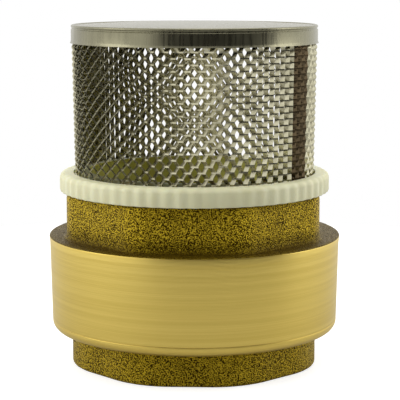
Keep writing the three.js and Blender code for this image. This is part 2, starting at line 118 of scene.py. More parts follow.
class ValveBodySettings(PropertyGroup):
    """Sizes and colours of the two brass halves."""

    inlet_flats: size("Inlet across flats", "Width of the upper octagonal neck", 71 * MM)
    outlet_flats: size("Outlet across flats", "Width of the lower octagonal neck", 69.6 * MM)
    neck_round: size("Inlet corner radius", "Radius of the upper octagon's corners", 9 * MM)
    outlet_round: size("Outlet corner radius", "Radius of the lower octagon's corners", 22 * MM)
    neck_turn: size("Neck turn", "Turn of the octagons about the axis", math.radians(-2.3), "ROTATION")
    neck_edge: size("Neck edge radius", "Radius along the necks' end edges", 0.9 * MM)
    shoulder: size("Shoulder height", "Level of the shoulder under the inlet neck", 36.8 * MM)
    shoulder_fillet: size("Shoulder fillet", "Fillet between shoulder and neck", 1.7 * MM)
    shoulder_round: size("Shoulder edge radius", "Radius of the shoulder's outer edge", 0.5 * MM)
    rim: size("Rim height", "Level of the underside of the outlet half's rim", 9.7 * MM)
    rim_round: size("Rim radius", "Radius of the rim's lower edge", 2.4 * MM)
    # Painted shade: how far from the shoulder the blasted brass is painted darker
    fillet_shade_reach: size("Dull reach", "How far the dullness reaches from the shoulder", 4 * MM)
    lip_height: size("Lip height", "Height of the proud band under the shoulder", 2.5 * MM)
    lip_step: size("Lip step", "How far the band stands proud", 0.2 * MM)
    seam: size("Seam height", "Level where the halves meet", 12.5 * MM)
    seam_gap: size("Seam gap", "Gap between the halves", 0.04 * MM)
    edge: size("Turned edge", "Radius of the turned cylinder's edges at the seam", 0.1 * MM)
    thread_radius: size("Thread radius", "Major radius of the pipe thread", 29.807 * MM)
    thread_depth: size("Thread depth", "Depth of the pipe thread", 1.479 * MM)
    thread_pitch: size("Thread pitch", "Rise of the pipe thread in one turn", 2.309 * MM)
    thread_rings: whole("Thread rings", "Rings in one pitch", 12, 6)
    mouth_chamfer: size("Mouth chamfer", "Chamfer at the mouth of each socket", 1 * MM)
    inlet_depth: size("Inlet socket depth", "Depth of the upper socket", 12.4 * MM)
    outlet_depth: size("Outlet socket depth", "Depth of the lower socket", 10.8 * MM)
    stop_height: size("Pipe stop height", "Height of the stop above the lower socket", 1.2 * MM)
    stop_bore: size("Pipe stop bore", "Radius of the bore through the stop", 27.528 * MM)
    seat_bore: size("Seat bore", "Radius of the bore through the seat", 24.2 * MM)
    seat_lip: size("Seat lip width", "Width of the seat's raised lip", 2 * MM)
    seat_rise: size("Seat lip height", "Height of the seat's raised lip", 1.2 * MM)
    seat_web: size("Seat web", "Thickness of the web that holds the seat", 2.8 * MM)
    chamber_wall: size("Chamber wall", "Wall round the chamber", 4.5 * MM)
    joint_wall: size("Joint wall", "Wall round the joint between the halves", 3.7 * MM)
    collar_wall: size("Collar wall", "Wall of the outlet half's collar", 4 * MM)
    o_ring_groove: size("Seal groove height", "Height of the groove for the joint seal", 2.6 * MM)
    slip: size("Slip gap", "Gap between parts that slip together", 0.3 * MM)
    segments: whole("Segments", "Sides of a round surface", 192, 24)
    bright: colour("Turned brass", "Colour of the turned brass", (0.80, 0.61, 0.16))
    warm: colour("Turned brass, warm", "Colour of the darker turning marks", (0.72, 0.535, 0.125))
    blasted: colour("Blasted brass", "Colour of the sandblasted brass", (0.62, 0.44, 0.028))
    # Also the colour the blasted brass is painted towards near the shoulder, as painted shade in the fillet
    blasted_dark: colour("Blasted brass, dark", "Colour of the blasted brass's pits", (0.055, 0.032, 0.002))


class StrainerSettings(PropertyGroup):
    """Sizes and colours of the ring, the mesh and the lid."""

    cells: whole("Cells round", "Mesh openings round the tube", 55, 8)
    cell_height: size("Cell height", "Height of one mesh opening", 3.36 * MM)
    strand_width: size("Strand width", "Width of a strand of the expanded sheet", 1.25 * MM)
    sheet: size("Sheet thickness", "Thickness of the stainless sheet", 0.35 * MM)
    strand_tilt: size("Strand tilt", "Turn of the strands out of the sheet", math.radians(30), "ROTATION")
    bond: amount("Bond share", "Share of a cell in one bond", 0.12, 0.05)
    top_radius: size("Mesh top radius", "Outer radius of the mesh under the lid", 34.8 * MM)
    foot_radius: size("Mesh foot radius", "Outer radius of the mesh at the ring", 34.2 * MM)
    lap_start: size("Lap start", "Angle where the sheet's lap begins", math.radians(-36), "ROTATION")
    lap_cells: whole("Lap cells", "Openings in the sheet's lap", 2, 1)
    lap_lift: size("Lap lift", "How far the lap lies inside the tube", 0.45 * MM)
    tuck_length: size("Tuck length", "Length over which the strands flatten at the ends", 1.5 * MM)
    tuck_radius: size("Tuck radius", "Middle radius of the mesh's flattened ends", 33.85 * MM)
    ribs: whole("Ribs", "Ribs round the ring", 64, 8)
    rib_depth: size("Rib depth", "Depth of the hollows between ribs", 0.35 * MM)
    ring_round: size("Ring edge radius", "Radius of the ring's top edge", 1.5 * MM)
    ring_edge: size("Ring lower edge", "Radius of the ring's lower edge", 0.35 * MM)
    thread_play: size("Thread play", "Radial play of the ring's thread", 0.3 * MM)
    ring_wall: size("Ring thread wall", "Wall under the ring's thread", 2.2 * MM)
    ring_top: size("Ring top", "Level of the ring's upper face", 54.6 * MM)
    collar_rise: size("Collar rise", "Height of the collar inside the mesh", 0.5 * MM)
    groove_floor: size("Groove floor", "Height of the groove's floor above the ring's foot", 1.8 * MM)
    groove_outer: size("Groove outer radius", "Outer radius of the groove for the mesh", 34.6 * MM)
    groove_inner: size("Groove inner radius", "Inner radius of the groove for the mesh", 32.4 * MM)
    ring_gap: size("Ring gap", "Gap between the ring and the inlet neck", 0.2 * MM)
    rib_steps: whole("Rib steps", "Sides in one rib", 6, 4)
    lid_wall: size("Lid wall", "Thickness of the lid's sheet", 0.5 * MM)
    lid_lip: size("Lid lip", "How far the lid's lip flares", 0.25 * MM)
    lid_bead: size("Lid bead", "Radius of the rolled top edge", 0.45 * MM)
    lid_dome: size("Lid dome", "Height of the lid's dome", 0.5 * MM)
    lid_moat: size("Lid moat", "Width of the hollow inside the rolled edge", 1.4 * MM)
    nylon: colour("Nylon", "Colour of the moulded ring", (0.84, 0.83, 0.56))
    nylon_shade: colour("Nylon, shaded", "Colour in the ring's thick parts", (0.76, 0.735, 0.46))
    # Painted reflection: brass-coloured light bounced onto the ring's inward faces inside the brass, not the
    # nylon's own colour
    nylon_brass_bounce: colour("Nylon, inside", "Colour of the ring inside the brass", (0.90, 0.86, 0.20))
    steel: colour("Stainless mesh", "Colour of the mesh", (0.60, 0.57, 0.41))
    steel_dark: colour("Stainless mesh, dark", "Colour of the mesh's sheared edges", (0.38, 0.355, 0.235))
    # Painted shade: the lap's strands take this dark brown, standing in for the shade where the sheet's ends
    # overlap
    tint: colour("Lap steel", "Heat tint of the lap, where it is welded", (0.15, 0.11, 0.06))
    lid: colour("Lid steel", "Colour of the lid", (0.265, 0.25, 0.165))


class InsideSettings(PropertyGroup):
    """Sizes and colours of the pieces inside."""

    bush_bore: size("Bush bore", "Radius of the guide bush's bore", 4.1 * MM)
    bush_radius: size("Bush radius", "Outer radius of the guide bush", 5.9 * MM)
    bush_flange: size("Bush flange", "Height of the bush's flange", 1.2 * MM)
    wire: size("Spring wire", "Diameter of the spring's wire", 1 * MM)
    end_turns: amount("End turns", "Closed turns at each end", 0.75, 0)
    active_turns: amount("Active turns", "Open turns of the spring", 2.5, 1)
    stem_radius: size("Stem radius", "Radius of the shutter's stem", 4 * MM)
    disc_thickness: size("Disc thickness", "Thickness of the shutter's disc", 2.8 * MM)
    recess: size("Spring recess", "Depth of the spring's seat in the disc", 1 * MM)
    recess_radius: size("Recess radius", "Radius of the spring's seat", 9.0 * MM)
    boss_radius: size("Boss radius", "Radius of the boss through the seal", 6.5 * MM)
    hole_radius: size("Tapped hole", "Radius of the hole for the screw", 2.8 * MM)
    hole_depth: size("Hole depth", "Depth of the tapped hole", 7.2 * MM)
    clip_groove: size("Clip groove", "Depth of the clip's groove", 0.8 * MM)
    edge: size("Edge radius", "Radius of small edges", 0.2 * MM)
    cast_edge: size("Cast edge radius", "Radius of the spider's edges", 0.5 * MM)
    running_gap: size("Running gap", "Gap between parts that fit closely", 0.1 * MM)
    spider_thickness: size("Spider thickness", "Thickness of the spider's arms and rim", 2.5 * MM)
    spider_rim: size("Spider rim width", "Width of the spider's rim", 3.2 * MM)
    hub_radius: size("Hub radius", "Radius of the spider's hub", 11 * MM)
    arms: whole("Arms", "Arms of the spider", 3, 2)
    arm_width: size("Arm width", "Width of the spider's arms", 4 * MM)
    arm_turn: size("Arm turn", "Where the first arm lies", math.radians(30), "ROTATION")
    arm_overlap: size("Arm overlap", "How far an arm reaches into hub and rim", 0.8 * MM)
    stem_chamfer: size("Stem chamfer", "Chamfer at the stem's foot", 0.5 * MM)
    clip_radius: size("Clip radius", "Outer radius of the stem's clip", 5.9 * MM)
    clip_opening: size("Clip opening", "Angle left open by the clip", math.radians(70), "ROTATION")
    screw_radius: size("Screw radius", "Radius of the plate's screw", 2.5 * MM)
    head_height: size("Head height", "Height of the screw's head", 3.4 * MM)
    key_radius: size("Key radius", "Radius to the corners of the screw's hexagon socket", 2.3 * MM)
    key_depth: size("Key depth", "Depth of the screw's hexagon socket", 2 * MM)
    turn_steps: whole("Turn steps", "Steps in one turn of the spring", 40, 8)
    wire_sides: whole("Wire sides", "Sides of the spring's wire", 12, 6)
    spring_kept: amount("Spring kept", "Share of its length when open", 0.407)
    segments: whole("Segments", "Sides of small round pieces", 96, 24)
    rubber: colour("Rubber", "Colour of the seals", (0.02, 0.02, 0.019))
    acetal: colour("Acetal", "Colour of the bush", (0.78, 0.76, 0.68))
    bright_steel: colour("Bright steel", "Colour of the spring and small parts", (0.62, 0.62, 0.60))


class StudioSettings(PropertyGroup):
    """Camera, floor and light."""

    distance: size("Camera distance", "From the axis to the camera", 424 * MM)
    height: size("Camera height", "Height of the camera", 110.1 * MM)
    tilt: size("Camera tilt", "Camera's tilt below the horizon", math.radians(8.6), "ROTATION")
    lens: amount("Lens", "Focal length in millimetres", 134.0, 10)
    shift: amount("Shift", "Sideways shift of the picture", 0.014)
    floor_radius: size("Floor radius", "Radius of the round floor", 0.24)
    pale: colour("Floor", "Colour of the floor", (0.58, 0.58, 0.57))
    floor_glow: amount("Floor glow", "Light added to the seen floor", 0.72, 0)
    white: amount("White", "Light from the studio's white walls", 1.12, 0)
    dim: amount("Dim side", "Light from the camera's side", 0.055, 0)
    dim_blur: amount("Dim side blur", "Softness of the dim side's edges", 0.09, 0)
    dim_top_low: amount("Dim side top", "Where the dim side starts to fade", 0.45)
    dim_top_high: amount("Dim side end", "Where the dim side has faded", 0.8)
    above_power: amount("Upper lamp", "Power in watts", 1.5, 0)
    side_power: amount("Side lamps", "Power in watts", 1.5, 0)
    dim_turn: size("Dim side turn", "Where the dim side's middle lies", math.radians(21.5), "ROTATION")
    dim_half: size("Dim side half width", "Half the width of the dim side", math.radians(57), "ROTATION")


GROUPS = (
    ("valve_body", ValveBodySettings),
    ("strainer", StrainerSettings),
    ("inside", InsideSettings),
    ("studio", StudioSettings),
)


# Shapes


def angle_of(vert):
    return math.atan2(vert.co.y, vert.co.x)


def set_ring(verts, radius, height):
    """Moves a ring's vertices out to a radius, which may depend on the angle and the height."""
    for vert in verts:
        angle = angle_of(vert)
        reach = radius(angle, height) if callable(radius) else radius
        vert.co = (reach * math.cos(angle), reach * math.sin(angle), height)


def extruded(bm, edges):
    """Extrudes edges and returns the new vertices and the new edges between them."""
    made = bmesh.ops.extrude_edge_only(bm, edges=edges)["geom"]
    verts = {part for part in made if isinstance(part, bmesh.types.BMVert)}
    rim = [part for part in made if isinstance(part, bmesh.types.BMEdge) and verts.issuperset(part.verts)]
    return verts, rim


def loft(stations, segments):
    """A closed shell through level rings; each station is (radius, height).

    A station of zero radius is a pole, and a last station like the first closes a hollow shell.
    """
    bm = bmesh.new()
    bmesh.ops.create_circle(bm, cap_ends=False, radius=1.0, segments=segments)
    verts, edges = bm.verts[:], bm.edges[:]
    for number, (radius, height) in enumerate(stations):
        if number:
            verts, edges = extruded(bm, edges)
        set_ring(verts, radius if callable(radius) else max(radius, POLE), height)
    bmesh.ops.remove_doubles(bm, verts=bm.verts[:], dist=MERGE)
    bmesh.ops.recalc_face_normals(bm, faces=bm.faces[:])
    return bm


def arc(centre_radius, centre_height, radius, start, end, steps=4):
    """Stations along an arc, its angles in degrees from the outward direction towards +Z."""
    angles = [math.radians(start + (end - start) * i / steps) for i in range(steps + 1)]
    return [
        (raised(centre_radius, radius * math.cos(turn)), centre_height + radius * math.sin(turn))
        for turn in angles
    ]


def raised(radius, extra):
    """A radius, or a section that depends on the angle, moved outwards."""
    if callable(radius):
        return lambda angle, height: radius(angle, height) + extra
    return radius + extra


def octagon(apothem, corner, turn=0.0):
    """The section of eight flats with round corners."""
    half = math.pi / 8
    reach = (apothem - corner) / math.cos(half)
    tangent = math.atan2(reach * math.sin(half), apothem)

    def section(angle, height):
        from_flat = (angle - turn + half) % (2 * half) - half
        if abs(from_flat) < tangent:
            return apothem / math.cos(from_flat)
        from_corner = half - abs(from_flat)
        inside = corner ** 2 - (reach * math.sin(from_corner)) ** 2
        return reach * math.cos(from_corner) + math.sqrt(inside)

    return section


def thread_section(body, phase, play=0.0):
    """The section of a right-hand thread with round crests and roots; at the phase height one faces -Y."""
    middle = body.thread_radius - body.thread_depth / 2 - play

    def section(angle, height):
        climbed = TURN * (height - phase) / body.thread_pitch
        return middle + body.thread_depth / 2 * math.cos(climbed - angle - math.pi / 2)

    return section


def socket_stations(body, mouth, floor):
    """Stations down a threaded socket with a countersunk mouth."""
    full = thread_section(body, mouth)
    wide = body.thread_radius + body.mouth_chamfer
    steps = math.ceil(abs(mouth - floor) / body.thread_pitch * body.thread_rings)

    def cut(angle, height):
        return max(full(angle, height), wide - abs(mouth - height))

    return [(cut, mouth + (floor - mouth) * step / steps) for step in range(steps + 1)]


def screw_stations(body, low, high, phase, play):
    """Stations up a screw whose thread fades out at both ends."""
    full = thread_section(body, phase, play)
    core = body.thread_radius - body.thread_depth - play
    steps = math.ceil((high - low) / body.thread_pitch * body.thread_rings)

    def kept(angle, height):
        return min(full(angle, height), core + min(height - low, high - height))

    return [(kept, low + (high - low) * step / steps) for step in range(steps + 1)]


def softened(points, radius, steps=3):
    """Stations round a profile of (radius, height) points with its corners rounded.

    The profile closes unless it meets the axis.
    """
    stations = []
    for number, point in enumerate(points):
        if point[0] <= 0:
            stations.append(point)
            continue
        here = Vector(point)
        before = Vector(points[number - 1]) - here
        after = Vector(points[(number + 1) % len(points)]) - here
        reach = min(radius, before.length * 0.4, after.length * 0.4)
        enter, leave = here + before.normalized() * reach, here + after.normalized() * reach
        for step in range(steps + 1):
            share = step / steps
            stations.append(tuple(enter.lerp(here, share).lerp(here.lerp(leave, share), share)))
    if points[0][0] > 0:
        stations.append(stations[0])
    return stations


def swept(bm, rings):
    """Adds a closed bar through rings of points, which all have the same number of points."""
    corner = bm.verts.layers.int.get("corner") or bm.verts.layers.int.new("corner")
    verts = bmesh.ops.create_circle(bm, cap_ends=True, radius=1.0, segments=len(rings[0]))["verts"]
    for number, vert in enumerate(verts):
        vert[corner] = number
    edges = list({edge for vert in verts for edge in vert.link_edges})
    for place, points in enumerate(rings):
        if place:
            verts, edges = extruded(bm, edges)
        for vert in verts:
            vert.co = points[vert[corner]]
    bmesh.ops.contextual_create(bm, geom=edges)


def repeated(bm, geom, count, step):
    """Copies geometry round the axis, count times in all, each a step further on."""
    more = count - 1
    if more:
        bmesh.ops.spin(
            bm, geom=geom, cent=(0, 0, 0), axis=(0, 0, 1), angle=step * more, steps=more, use_duplicate=True
        )


def finish_by(bm, choose):
    """Gives each face the material number that choose returns for its middle and its normal."""
    for face in bm.faces:
        face.material_index = choose(face.calc_center_median(), face.normal)


def make_piece(bm, name, materials, body, node):
    """Turns a bmesh into a smooth-shaded object that stands for a node of the model."""
    for face in bm.faces:
        face.smooth = True
    for edge in bm.edges:
        edge.smooth = edge.calc_face_angle(0) < SHARP
    mesh = bpy.data.meshes.new(name)
    bm.to_mesh(mesh)
    bm.free()
    for material in materials:
        mesh.materials.append(material)
    piece = bpy.data.objects.new(name, mesh)
    bpy.context.scene.collection.objects.link(piece)
    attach(piece, body)
    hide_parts(node)
    return piece


# Materials


def start_material(name, base, metallic, roughness):
    """A new material and its Principled shader."""
    material = bpy.data.materials.new(name)
    material.use_nodes = True
    material.diffuse_color = (*base, 1)
    shader = material.node_tree.nodes["Principled BSDF"]
    shader.inputs["Base Color"].default_value = (*base, 1)
    shader.inputs["Metallic"].default_value = metallic
    shader.inputs["Roughness"].default_value = roughness
    return material, shader


def node(owner, kind, **values):
    """Adds a node to a material or world; values set its attributes, or its inputs where it has none."""
    made = owner.node_tree.nodes.new(kind)
    for key, value in values.items():
        if hasattr(made, key):
            setattr(made, key, value)
        else:
            made.inputs[key.replace("_", " ")].default_value = value
    return made


def join(owner, source, target):
    owner.node_tree.links.new(source, target)


def split_axes(owner, source):
    """The X, Y and Z outputs of a vector."""
    split = node(owner, "ShaderNodeSeparateXYZ")
    join(owner, source, split.inputs["Vector"])
    return split.outputs


def noise(material, scale, detail=2.0, roughness=0.5):
    """Noise on Object coordinates, with a scale per metre, which may be given for each axis."""
    scale = scale if isinstance(scale, tuple) else (scale, scale, scale)
    place = node(material, "ShaderNodeTexCoord")
    stretch = node(material, "ShaderNodeMapping", Scale=scale)
    join(material, place.outputs["Object"], stretch.inputs["Vector"])
    made = node(material, "ShaderNodeTexNoise", Scale=1.0, Detail=detail, Roughness=roughness)
    join(material, stretch.outputs["Vector"], made.inputs["Vector"])
    return made.outputs["Fac"]


def spread(owner, value, low, high, to_low=0.0, to_high=1.0, interpolation="LINEAR"):
    """Maps a value from one range to another, clamped."""
    made = node(owner, "ShaderNodeMapRange", interpolation_type=interpolation)
    for name, number in zip(("From Min", "From Max", "To Min", "To Max"), (low, high, to_low, to_high)):
        made.inputs[name].default_value = number
    join(owner, value, made.inputs["Value"])
    return made.outputs["Result"]


def sums(owner, operation, first, second=0):
    """A Math node on one or two values or sockets."""
    made = node(owner, "ShaderNodeMath", operation=operation)
    for place, value in enumerate((first, second)):
        if isinstance(value, (int, float)):
            made.inputs[place].default_value = value
        else:
            join(owner, value, made.inputs[place])
    return made.outputs["Value"]


def bump(material, shader, height, distance):
    """Adds a bump to the shader, over any that it has."""
    made = node(material, "ShaderNodeBump", Distance=distance)
    join(material, height, made.inputs["Height"])
    before = shader.inputs["Normal"].links
    if before:
        join(material, before[0].from_socket, made.inputs["Normal"])
    join(material, made.outputs["Normal"], shader.inputs["Normal"])


def coat(material, shader, share, first, second, sheen, height, depth):
    """Joins a colour between two, by a share from 0 to 1, and a roughness and a bump."""
    ramp = node(material, "ShaderNodeValToRGB")
    ramp.color_ramp.elements[0].color = (*first, 1)
    ramp.color_ramp.elements[1].color = (*second, 1)
    join(material, share, ramp.inputs["Fac"])
    join(material, ramp.outputs["Color"], shader.inputs["Base Color"])
    join(material, sheen, shader.inputs["Roughness"])
    bump(material, shader, height, depth)
    return material


def turned_brass(name, bright, warm):
    """Brass turned on a lathe: fine rings across the axis, with faint waves of tool chatter."""
    material, shader = start_material(name, bright, 1.0, 0.3)
    fine = noise(material, (18, 18, 9000), detail=3.0)
    broad = noise(material, (9, 9, 900), detail=2.0)
    place = node(material, "ShaderNodeTexCoord")
    across, along, up = split_axes(material, place.outputs["Object"])
    waves = sums(material, "SINE", sums(material, "MULTIPLY", sums(material, "ARCTAN2", along, across), 9.0))
    sway = sums(material, "MULTIPLY", waves, 4.0)
    chatter = sums(material, "SINE", sums(material, "ADD", sums(material, "MULTIPLY", up, 5200.0), sway))
    share = spread(material, sums(material, "ADD", fine, broad), 0.82, 1.18)
    sheen = spread(material, fine, 0.3, 0.7, 0.3, 0.42)
    coat(material, shader, share, warm, bright, sheen, fine, 0.000016)
    bump(material, shader, chatter, 0.000003)
    return material


def blasted_brass(name, light, dark, level, reach):
    """Forged brass after sandblasting: a fine grain with dark pits and bright points.

    It is painted darker near a level, as painted shade in the shoulder's fillet, and clears at a reach from
    it.
    """
    material, shader = start_material(name, light, 1.0, 0.5)
    grain = noise(material, 3000, detail=1.0)
    cloud = sums(material, "MULTIPLY", noise(material, 160, detail=3.0), 0.12)
    pits = spread(material, sums(material, "ADD", grain, cloud), 0.49, 0.62)
    place = node(material, "ShaderNodeTexCoord")
    up = split_axes(material, place.outputs["Object"])["Z"]
    # Painted shade: close to the shoulder's level the colour is pulled towards the dark colour, fading out
    # over the reach
    fillet_shade_distance = sums(material, "ABSOLUTE", sums(material, "SUBTRACT", up, level))
    share = sums(material, "MULTIPLY", pits, spread(material, fillet_shade_distance, 0.0, reach, 0.2, 1.0))
    sheen = spread(material, grain, 0.35, 0.7, 0.62, 0.36)
    return coat(material, shader, share, dark, light, sheen, grain, 0.0005)


def cast_brass(name, light, dark):
    """Brass of the pieces inside: machined all over, with a fine satin grain."""
    material, shader = start_material(name, light, 1.0, 0.34)
    grain = noise(material, 1200, detail=3.0)
    share = spread(material, sums(material, "ADD", grain, noise(material, 70, detail=3.0)), 0.7, 1.2)
    sheen = spread(material, grain, 0.3, 0.7, 0.28, 0.42)
    return coat(material, shader, share, dark, light, sheen, grain, 0.00003)


def stainless(name, light, dark, grain_scale, roughness):
    """Stainless steel with a fine drawn grain."""
    material, shader = start_material(name, light, 1.0, roughness)
    grain = noise(material, grain_scale, detail=3.0)
    share = spread(material, sums(material, "ADD", grain, noise(material, 140)), 0.7, 1.3)
    sheen = spread(material, grain, 0.3, 0.7, roughness - 0.07, roughness + 0.1)
    return coat(material, shader, share, dark, light, sheen, grain, 0.00002)


def moulded_nylon(name, light, shade):
    """Natural nylon: creamy, slightly translucent, with a satin moulded skin."""
    material, shader = start_material(name, light, 0.0, 0.45)
    skin = noise(material, 1800)
    shader.inputs["Subsurface Weight"].default_value = 0.25
    shader.inputs["Subsurface Radius"].default_value = (1.0, 0.85, 0.5)
    shader.inputs["Subsurface Scale"].default_value = 0.0015
    share = spread(material, noise(material, 90, detail=3.0), 0.3, 0.75)
    sheen = spread(material, skin, 0.3, 0.7, 0.4, 0.55)
    return coat(material, shader, share, shade, light, sheen, skin, 0.00003)


def plain_grained(name, base, roughness, depth):
    """Rubber or acetal with a fine matt skin."""
    material, shader = start_material(name, base, 0.0, roughness)
    skin = noise(material, 1500, detail=3.0)
    share = spread(material, noise(material, 120), 0.3, 0.7)
    sheen = spread(material, skin, 0.3, 0.7, roughness - 0.08, roughness + 0.08)
    return coat(material, shader, share, dimmed(base, 0.75), base, sheen, skin, depth)


def dimmed(base, part):
    """A share of a colour."""
    return tuple(part * channel for channel in base)


def finish(name):
    """A finish by its name, made the first time it is asked for."""
    if name in bpy.data.materials:
        return bpy.data.materials[name]
    scene = bpy.context.scene
    body, strainer, inside = scene.valve_body, scene.strainer, scene.inside
    blasting = (body.blasted, body.blasted_dark, body.shoulder, body.fillet_shade_reach)
    bright = inside.bright_steel
    makers = {
        "turned_brass": (turned_brass, body.bright, body.warm),
        "blasted_brass": (blasted_brass, *blasting),
        "cast_brass": (cast_brass, body.bright, body.warm),
        "mesh_stainless": (stainless, strainer.steel, strainer.steel_dark, 900, 0.24),
        # Painted shade of the sheet's overlapping lap
        "mesh_tinted": (stainless, strainer.tint, dimmed(strainer.tint, 0.5), 900, 0.4),
        "lid_stainless": (stainless, strainer.lid, dimmed(strainer.lid, 0.8), (1400, 1400, 60), 0.28),
        "bright_stainless": (stainless, bright, dimmed(bright, 0.75), (600, 600, 3000), 0.22),
        "nylon": (moulded_nylon, strainer.nylon, strainer.nylon_shade),
        # Painted reflection of the surrounding brass on the ring's inner faces
        "nylon_inside": (moulded_nylon, strainer.nylon_brass_bounce, dimmed(strainer.nylon_brass_bounce, 0.8)),
        "rubber": (plain_grained, inside.rubber, 0.6, 0.00002),
        "acetal": (plain_grained, inside.acetal, 0.4, 0.00001),
    }
    make, *values = makers[name]
    return make(name, *values)


# Pieces


def brass_faces(body):
    """Chooses blasted brass on the necks and the shoulder, and turned brass elsewhere."""
    mouth = body.thread_radius + body.mouth_chamfer

    def choose(middle, normal):
        outside = math.hypot(middle.x, middle.y) > mouth
        on_neck = middle.z > body.shoulder - body.shoulder_round / 2 or middle.z < body.rim + body.edge / 2
        at_end = middle.z < POLE or middle.z > INLET_HIGH.z - POLE
        return int(outside and on_neck and not at_end)

    return choose


def inlet_stations(body):
    """Up the outside of the inlet half, down its socket and back through the seat and the chamber."""
    foot_radius, top_radius = OUTLET_HIGH.x, INLET_HIGH.x
    low, top = body.seam + body.seam_gap, INLET_HIGH.z
    neck = octagon(body.inlet_flats / 2, body.neck_round, body.neck_turn)
    fillet = body.shoulder_fillet
    floor = top - body.inlet_depth
    web = floor - body.seat_web
    seat = web - body.seat_rise
    bore, seat_outer = body.seat_bore, body.seat_bore + body.seat_lip
    chamber, joint = foot_radius - body.chamber_wall, foot_radius - body.joint_wall
    joint_top = OUTLET_HIGH.z + body.slip
    edge, neck_edge, shoulder_edge = body.edge, body.neck_edge, body.shoulder_round
    start = (joint, low)
    return [
        start,
        *arc(foot_radius - edge, low + edge, edge, -90, 0),
        (top_radius - body.lip_step, body.shoulder - body.lip_height),
        *arc(top_radius - shoulder_edge, body.shoulder - shoulder_edge, shoulder_edge, 0, 90),
        *reversed(arc(raised(neck, fillet), body.shoulder + fillet, fillet, 180, 270, 6)),
        *arc(raised(neck, -neck_edge), top - neck_edge, neck_edge, 0, 90),
        *socket_stations(body, top, floor),
        *[(bore, level) for level in (floor, seat)],
        *[(seat_outer, level) for level in (seat, web)],
        *[(chamber, level) for level in (web, joint_top)],
        (joint, joint_top),
        start,
    ]


def outlet_stations(body):
    """Up the outside of the outlet half, over its collar and down through its bore and socket."""
    outer = OUTLET_HIGH.x
    neck = octagon(body.outlet_flats / 2, body.outlet_round, body.neck_turn)
    neck_edge, fillet, edge = body.neck_edge, body.shoulder_fillet / 2, body.edge
    joint = outer - body.joint_wall
    collar = joint - body.slip
    bore = collar - body.collar_wall
    top = OUTLET_HIGH.z
    groove = joint - (O_RING_HIGH.z - O_RING_LOW.z) - body.slip
    groove_top = body.seam + body.o_ring_groove
    ledge = body.outlet_depth + body.stop_height
    return [
        (body.thread_radius + body.mouth_chamfer, 0.0),
        *arc(raised(neck, -neck_edge), neck_edge, neck_edge, -90, 0),
        *arc(raised(neck, fillet), body.rim - fillet, fillet, 180, 90, 5),
        *arc(outer - body.rim_round, body.rim + body.rim_round, body.rim_round, -90, 0, 8),
        *arc(outer - edge, body.seam - edge, edge, 0, 90, 3),
        *[(groove, level) for level in (body.seam, groove_top)],
        *[(collar, level) for level in (groove_top, top)],
        *[(bore, level) for level in (top, ledge)],
        *[(body.stop_bore, level) for level in (ledge, body.outlet_depth)],
        *reversed(socket_stations(body, 0.0, body.outlet_depth)),
    ]


class FOOTVALVE_OT_inlet_half(Operator):
    """Makes the brass half with the seat and the socket for the strainer"""

    bl_idname = "foot_valve.inlet_half"
    bl_label = "Inlet half"

    def execute(self, context):
        body = context.scene.valve_body
        bm = loft(inlet_stations(body), body.segments)
        finish_by(bm, brass_faces(body))
        finishes = [finish("turned_brass"), finish("blasted_brass")]
        make_piece(bm, "inlet_half_forged", finishes, "valve_body", "inlet_half")
        return {"FINISHED"}


class FOOTVALVE_OT_outlet_half(Operator):
    """Makes the brass half with the outlet socket and the joint collar"""

    bl_idname = "foot_valve.outlet_half"
    bl_label = "Outlet half"

    def execute(self, context):
        body = context.scene.valve_body
        bm = loft(outlet_stations(body), body.segments)
        finish_by(bm, brass_faces(body))
        finishes = [finish("turned_brass"), finish("blasted_brass")]
        make_piece(bm, "outlet_half_forged", finishes, "valve_body", "outlet_half")
        return {"FINISHED"}


def o_ring_stations():
    """Round the section of the joint seal."""
    wire = (O_RING_HIGH.z - O_RING_LOW.z) / 2
    return arc(O_RING_HIGH.x - wire, O_RING_LOW.z + wire, wire, 0, 360, 16)


class FOOTVALVE_OT_seals(Operator):
    """Makes the rubber seal in the joint and the one on the shutter"""

    bl_idname = "foot_valve.seals"
    bl_label = "Seals"

    def execute(self, context):
        body, inside = context.scene.valve_body, context.scene.inside
        rubber = [finish("rubber")]
        ring = loft(o_ring_stations(), body.segments)
        make_piece(ring, "joint_o_ring_moulded", rubber, "valve_body", "joint_o_ring")
        inner, outer = inside.boss_radius + body.slip, SEAL_HIGH.x
        profile = [(inner, SEAL_LOW.z), (outer, SEAL_LOW.z), (outer, SEAL_HIGH.z), (inner, SEAL_HIGH.z)]
        seal = loft(softened(profile, inside.edge), body.segments)
        make_piece(seal, "shutter_seal_moulded", rubber, "shutter", "shutter_seal")
        return {"FINISHED"}


